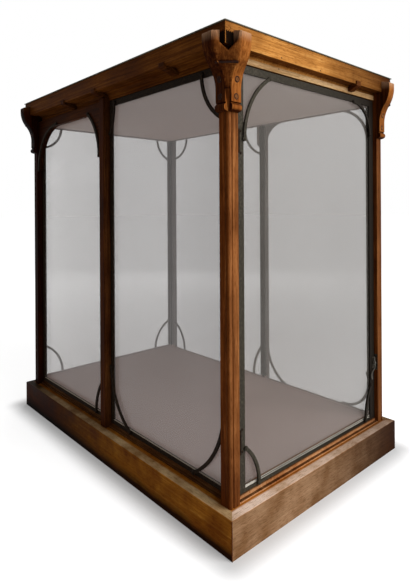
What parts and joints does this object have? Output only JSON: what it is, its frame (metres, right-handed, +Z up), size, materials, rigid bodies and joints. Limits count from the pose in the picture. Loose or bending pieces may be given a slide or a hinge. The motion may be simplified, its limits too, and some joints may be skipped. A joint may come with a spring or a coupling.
{
  "type": "glazed display case",
  "caption": "Free-standing glazed display case on a wooden plinth, with iron-framed panes, curved corner braces, carved post brackets, a boxed cornice and a hinged end door.",
  "frame": {"origin": "middle of the plinth's underside, on the floor", "axes": "+X along the case towards the end with the door, +Z up, front towards -Y"},
  "size_m": [1.142, 0.77, 1.15],
  "materials": {
    "plinth_oak": "worn waxed wood",
    "post_oak": "satin stained wood",
    "bracket_oak": "satin stained wood",
    "cornice_oak": "satin stained wood",
    "sill_oak": "worn satin wood",
    "inner_boards": "plain wood",
    "peg_wood": "end grain",
    "lining_board": "matt paint",
    "roof_sheet": "matt paint",
    "pane_glass": "clear polished",
    "frame_iron": "dark satin iron",
    "fitting_steel": "worn steel",
    "screw_steel": "darkened steel"
  },
  "bodies": {
    "case": {"apron": "cornice_oak", "apron_braces": "frame_iron", "apron_rivets": "frame_iron", "brace_rivets": "frame_iron", "bracket_back_right": "bracket_oak", "bracket_front_left": "bracket_oak", "bracket_front_right": "bracket_oak", "bracket_screws": "screw_steel", "catch_keeper": "fitting_steel", "ceiling_board": "inner_boards", "ceiling_lining": "lining_board", "corner_braces": "frame_iron", "cornice_blocks": "cornice_oak", "cornice_coves": "cornice_oak", "fascia_back": "cornice_oak", "fascia_front": "cornice_oak", "fascia_left": "cornice_oak", "fascia_pegs": "peg_wood", "fascia_right": "cornice_oak", "floor_board": "inner_boards", "floor_lining": "lining_board", "frame_back_left": "frame_iron", "frame_back_right": "frame_iron", "frame_front_left": "frame_iron", "frame_front_right": "frame_iron", "frame_left": "frame_iron", "glass_back_left": "pane_glass", "glass_back_right": "pane_glass", "glass_front_left": "pane_glass", "glass_front_right": "pane_glass", "glass_left": "pane_glass", "head_rail_back": "cornice_oak", "head_rail_front": "cornice_oak", "head_rail_left": "cornice_oak", "head_rail_right": "cornice_oak", "hinge_pins": "fitting_steel", "hinge_post_leaves": "fitting_steel", "mid_post_back": "post_oak", "mid_post_front": "post_oak", "plinth_beam_back": "plinth_oak", "plinth_beam_front": "plinth_oak", "plinth_beam_left": "plinth_oak", "plinth_beam_right": "plinth_oak", "post_back_left": "post_oak", "post_back_right": "post_oak", "post_front_left": "post_oak", "post_front_right": "post_oak", "roof_bearers": "inner_boards", "roof_cover": "roof_sheet", "sill_ends": "sill_oak", "sill_sides": "sill_oak"},
    "door": {"door_frame": "frame_iron", "door_glass": "pane_glass", "door_braces": "frame_iron", "door_rivets": "frame_iron", "hinge_door_leaves": "fitting_steel", "catch_plate": "fitting_steel"},
    "catch": {"catch_lever": "fitting_steel"}
  },
  "joints": [
    {"name": "door_hinge", "type": "hinge", "parent": "case", "child": "door", "pos_m": [0.524, -0.30025, 0.5595], "axis": [0, 0, -1], "range_deg": [0, 90]},
    {"name": "catch_turn", "type": "hinge", "parent": "door", "child": "catch", "pos_m": [0.5228, 0.295, 0.272], "axis": [-1, 0, 0], "range_deg": [0, 90]}
  ]
}
